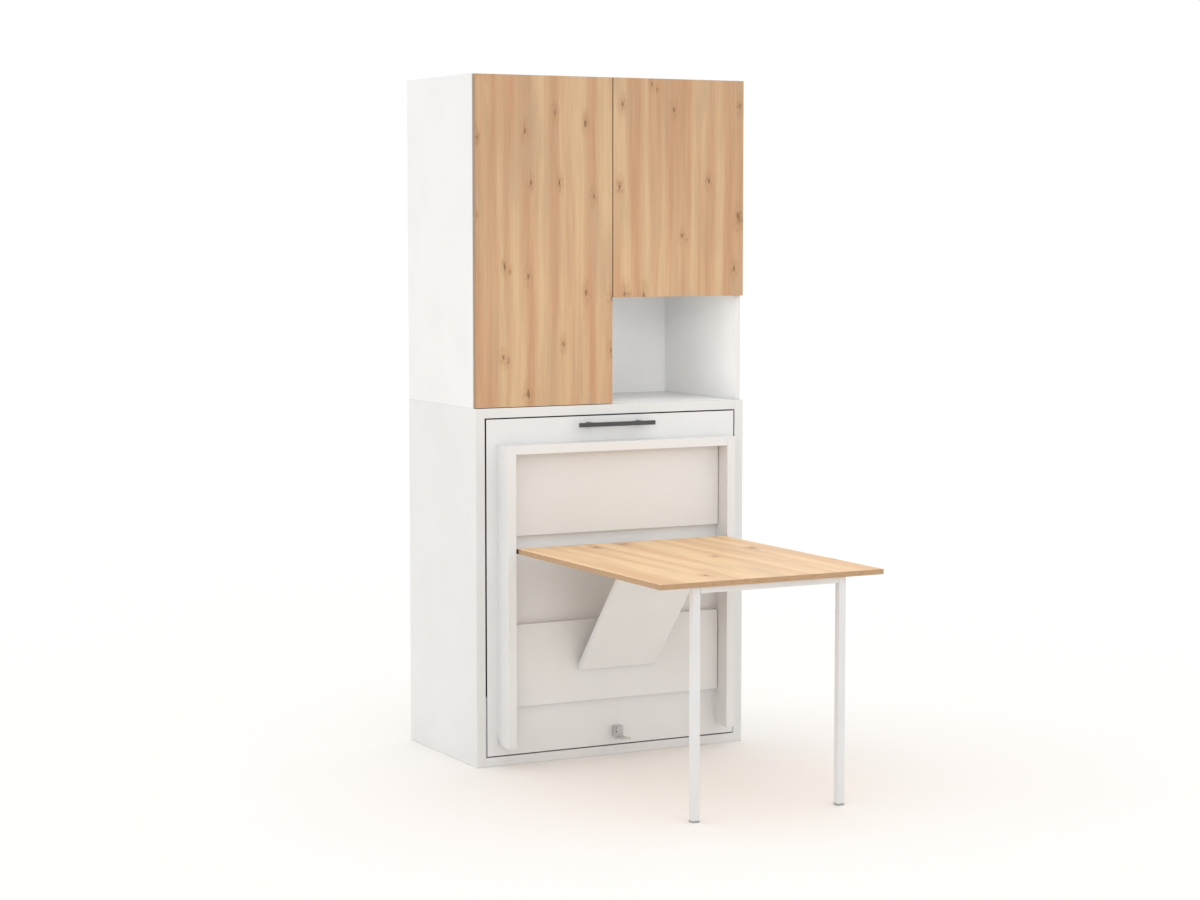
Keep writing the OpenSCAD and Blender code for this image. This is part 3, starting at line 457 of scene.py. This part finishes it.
def quilted(node, sleeping):
    """A mattress in quilted ticking: the cover swells over its core, is pulled in along the
    quilting lines of its two faces, and has a taped seam round both. Sleeping is +1 or -1, the
    side of Y that its upper face looks to."""
    low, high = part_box(node)
    middle = (low + high) / 2
    half = (high - low) / 2
    mesh = parts[node].data.copy()
    mesh.materials.clear()
    mesh.materials.append(ticking)
    piece = bpy.data.objects.new(node.replace("mattress", "quilted_mattress"), mesh)
    bpy.context.scene.collection.objects.link(piece)
    for spot in mesh.vertices:
        spot.co = middle + Vector([(spot.co[i] - middle[i]) * (1 - SLACK / half[i]) for i in range(3)])
    remesh = piece.modifiers.new("net", "REMESH")
    remesh.mode = "VOXEL"
    remesh.voxel_size = NET
    settled(piece)
    before = [spot.co.copy() for spot in piece.data.vertices]
    cloth = piece.modifiers.new("swell", "CLOTH").settings
    cloth.quality = 4
    cloth.mass = 0.3
    cloth.use_pressure = True
    cloth.uniform_pressure_force = 4.0
    cloth.effector_weights.gravity = 0.0
    scene = bpy.context.scene
    for count in range(1, SWELL_STEPS + 1):
        scene.frame_set(count)
    settled(piece)
    scene.frame_set(1)
    for spot, old in zip(piece.data.vertices, before):
        moved = spot.co - old
        if moved.length > MOST_SWELL:
            spot.co = old + moved * (MOST_SWELL / moved.length)
    smooth = piece.modifiers.new("finer", "SUBSURF")
    smooth.levels = smooth.render_levels = 1
    settled(piece)
    # the quilting's grooves lie on the two faces, with none on the side band
    outward = [spot.normal.copy() for spot in piece.data.vertices]
    for spot, normal in zip(piece.data.vertices, outward):
        facing = abs(normal.y)
        if facing > 0.6:
            a = (spot.co.x + spot.co.z) / DIAMOND
            b = (spot.co.x - spot.co.z) / DIAMOND
            near = min(abs(a - round(a)), abs(b - round(b))) * DIAMOND / math.sqrt(2)
            pull = math.exp(-(near / GROOVE) ** 2)
            edge = min(half.x - abs(spot.co.x - middle.x), half.z - abs(spot.co.z - middle.z))
            fade = max(0.0, min(1.0, (edge - RIM) / FADE))
            spot.co -= normal * (GROOVE_DEPTH * pull * fade * min(1.0, (facing - 0.6) / 0.3))
    piece.data.shade_smooth()
    place_piece(piece, node)
    for side, offset in (("upper", 1), ("lower", -1)):
        height = middle.y + sleeping * offset * (half.y - TAPE_IN)
        seam = bpy.data.curves.new(f"{node}_{side}_tape", "CURVE")
        seam.dimensions = "3D"
        seam.bevel_depth = TAPE_RADIUS
        seam.bevel_resolution = 3
        run = cut_line(piece.data, height, Y)[::2]
        line = seam.splines.new("POLY")
        line.points.add(len(run) - 1)
        for point, spot in zip(line.points, run):
            point.co = (*spot, 1.0)
        line.use_cyclic_u = True
        seam.materials.append(tape)
        cord = bpy.data.objects.new(f"{node}_{side}_tape", seam)
        bpy.context.scene.collection.objects.link(cord)
        settled_tape = bpy.data.objects.new(f"{node}_{side}_tape_sewn",
                                            bpy.data.meshes.new_from_object(cord))
        bpy.data.objects.remove(cord)
        bpy.context.scene.collection.objects.link(settled_tape)
        settled_tape.data.shade_smooth()
        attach(settled_tape, body_of[node])
    return piece


quilted("main_mattress", 1)
quilted("foot_mattress", -1)
quilted("head_mattress", 1)


# every other node keeps its form and takes its material

for name, part in parts.items():
    if not part.hide_render:
        part.data.materials.clear()
        part.data.materials.append(OWN_LOOK.get(name, LOOK_OF_SLOT[slot_of[name]]))


# floor, light and background

def seen_directly(tree):
    """1 for what the camera, a reflection or a clear body sees directly, and else 0."""
    rays = add(tree, "LightPath").node.outputs
    return add(tree, "Math", rays["Is Transmission Ray"],
               add(tree, "Math", rays["Is Camera Ray"], rays["Is Glossy Ray"], operation="MAXIMUM"),
               operation="MAXIMUM")


floor_look = bpy.data.materials.new("studio_floor_painted")
floor_look.use_nodes = True
tree = floor_look.node_tree
tree.nodes.clear()
shown = add(tree, "BsdfDiffuse", linear("#F3F0ED"))
add(tree, "OutputMaterial", add(tree, "MixShader", seen_directly(tree),
                                add(tree, "BsdfDiffuse", linear("#F0ECE8")), shown))

FLOOR_HALF, UNDER = 40.0, 0.4 * MM
ground = bmesh.new()
bmesh.ops.create_grid(ground, x_segments=8, y_segments=8, size=FLOOR_HALF)
floor_mesh = bpy.data.meshes.new("studio_floor")
ground.to_mesh(floor_mesh)
ground.free()
floor_mesh.materials.append(floor_look)
floor = bpy.data.objects.new("studio_floor", floor_mesh)
floor.location.z = -UNDER
bpy.context.scene.collection.objects.link(floor)

world = bpy.data.worlds.new("studio_room")
bpy.context.scene.world = world
world.use_nodes = True
tree = world.node_tree
tree.nodes.clear()
add(tree, "OutputWorld", add(tree, "MixShader", seen_directly(tree),
                             add(tree, "Background", linear("#FFFFFF"), 1.15),
                             add(tree, "Background", linear("#FFFFFF"), 1.0)))


def lamp_at(name, kind, place, target, energy):
    """A lamp of that kind at the place, turned towards the target."""
    lamp = bpy.data.lights.new(name, kind)
    lamp.energy = energy
    holder = bpy.data.objects.new(name, lamp)
    holder.location = place
    holder.rotation_euler = (Vector(target) - holder.location).to_track_quat("-Z", "Y").to_euler()
    bpy.context.scene.collection.objects.link(holder)
    return lamp, holder


# two wide soft lights from far off light the floor evenly
for name, target, strength, spread in (("side_light", (0.92, -0.3, -0.25), 0.20, 60),
                                       ("front_light", (0.25, 1.0, -0.2), 0.25, 50)):
    lamp, holder = lamp_at(name, "SUN", (0.0, 0.0, 0.0), target, strength)
    lamp.angle = math.radians(spread)

# a soft spot from the front left for the niche's walls, and a faint light in its opening that
# only the niche gets
lamp, holder = lamp_at("niche_wall_light", "SPOT", (-2.2, -3.2, 2.15), (0.3, 0.0, 1.3), 170.0)
lamp.spot_size = math.radians(12)
lamp.spot_blend = 1.0
lamp.shadow_soft_size = 0.5
lamp, holder = lamp_at("niche_light", "AREA", (0.245, -0.262, 1.35), (0.245, 0.0, 1.35), 0.38)
lamp.shape = "RECTANGLE"
lamp.size, lamp.size_y = 0.44, 0.32
holder.visible_camera = holder.visible_glossy = False

bpy.context.scene.view_settings.view_transform = "Standard"
